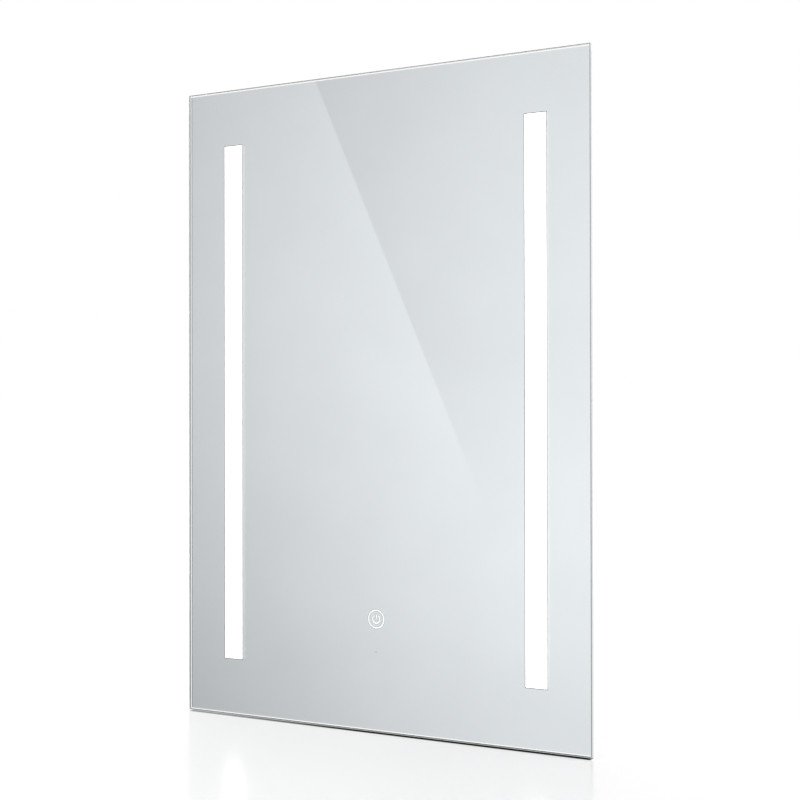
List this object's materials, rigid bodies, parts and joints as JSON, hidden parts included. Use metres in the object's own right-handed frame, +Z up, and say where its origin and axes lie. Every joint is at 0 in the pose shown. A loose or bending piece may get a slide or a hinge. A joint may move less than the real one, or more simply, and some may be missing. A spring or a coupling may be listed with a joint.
{
  "type": "lighted bathroom mirror",
  "caption": "Frameless wall mirror with light strips etched down both sides and a touch ring, on a bonded rail frame with keyhole hangers and its electrics behind.",
  "frame": {"origin": "midway between the two keyhole entry holes, in the plane of the wall", "axes": "+Z up, +X to the viewer's right, +Y into the wall; the mirror faces -Y"},
  "size_m": [0.5, 0.0332, 0.7],
  "materials": {
    "clear_glass": "polished float glass with ground edges",
    "mirror_silver": "silvered front, grey backing paint behind",
    "anodised_aluminium": "satin anodised extrusion",
    "zinc_steel": "zinc plated",
    "grey_rubber": "matt",
    "foam_tape": "white foam",
    "white_plastic": "moulded",
    "driver_plastic": "fine spark texture",
    "box_plastic": "fine spark texture",
    "green_board": "solder mask",
    "white_board": "white solder mask",
    "led_chip": "phosphor lens",
    "opal_acrylic": "opal, lit from behind",
    "ferrite": "ferrite and tape",
    "capacitor_sleeve": "shrink sleeve",
    "clear_polyamide": "natural polyamide",
    "brass": "turned",
    "gland_nylon": "moulded nylon",
    "white_sheath": "PVC sheath"
  },
  "bodies": {
    "mirror": {"mirror_glass": "clear_glass", "silvering": "mirror_silver", "corner_keys": "zinc_steel", "corner_screws": "zinc_steel", "hanger_screws": "zinc_steel", "driver_screws": "zinc_steel", "terminal_box_screws": "zinc_steel", "lid_hinge_pin": "zinc_steel", "service_plate": "zinc_steel", "wall_bumpers": "grey_rubber", "grommets": "grey_rubber", "led_connectors": "white_plastic", "driver_connectors": "white_plastic", "lead_clips": "white_plastic", "channel_tapes": "foam_tape", "service_tapes": "foam_tape", "touch_tape": "foam_tape", "driver_base": "driver_plastic", "driver_cover": "driver_plastic", "driver_board": "green_board", "touch_board": "green_board", "driver_transformer": "ferrite", "driver_capacitors": "capacitor_sleeve", "terminal_box": "box_plastic", "touch_case": "box_plastic", "terminal_block": "clear_polyamide", "terminal_screws": "brass", "touch_electrode": "brass", "cable_gland": "gland_nylon", "gland_nut": "gland_nylon", "gland_locknut": "gland_nylon", "icon_diffuser": "opal_acrylic", "icon_leds": "led_chip", "mains_lead": "white_sheath", "touch_lead": "white_sheath", "top_rail": "anodised_aluminium", "top_frame_tape": "foam_tape", "bottom_rail": "anodised_aluminium", "bottom_frame_tape": "foam_tape", "left_rail": "anodised_aluminium", "left_frame_tape": "foam_tape", "right_rail": "anodised_aluminium", "right_frame_tape": "foam_tape", "left_hanger_plate": "zinc_steel", "left_light_channel": "anodised_aluminium", "left_light_diffuser": "opal_acrylic", "left_led_board": "white_board", "left_leds": "led_chip", "left_led_lead": "white_sheath", "left_top_end_cap": "white_plastic", "left_bottom_end_cap": "white_plastic", "right_hanger_plate": "zinc_steel", "right_light_channel": "anodised_aluminium", "right_light_diffuser": "opal_acrylic", "right_led_board": "white_board", "right_leds": "led_chip", "right_led_lead": "white_sheath", "right_top_end_cap": "white_plastic", "right_bottom_end_cap": "white_plastic"},
    "lid": {"terminal_lid": "box_plastic"}
  },
  "joints": [
    {"name": "terminal_lid_hinge", "type": "hinge", "parent": "mirror", "child": "lid", "pos_m": [0.02, -0.0063, -0.271], "axis": [1, 0, 0], "range_deg": [0, 110]}
  ]
}
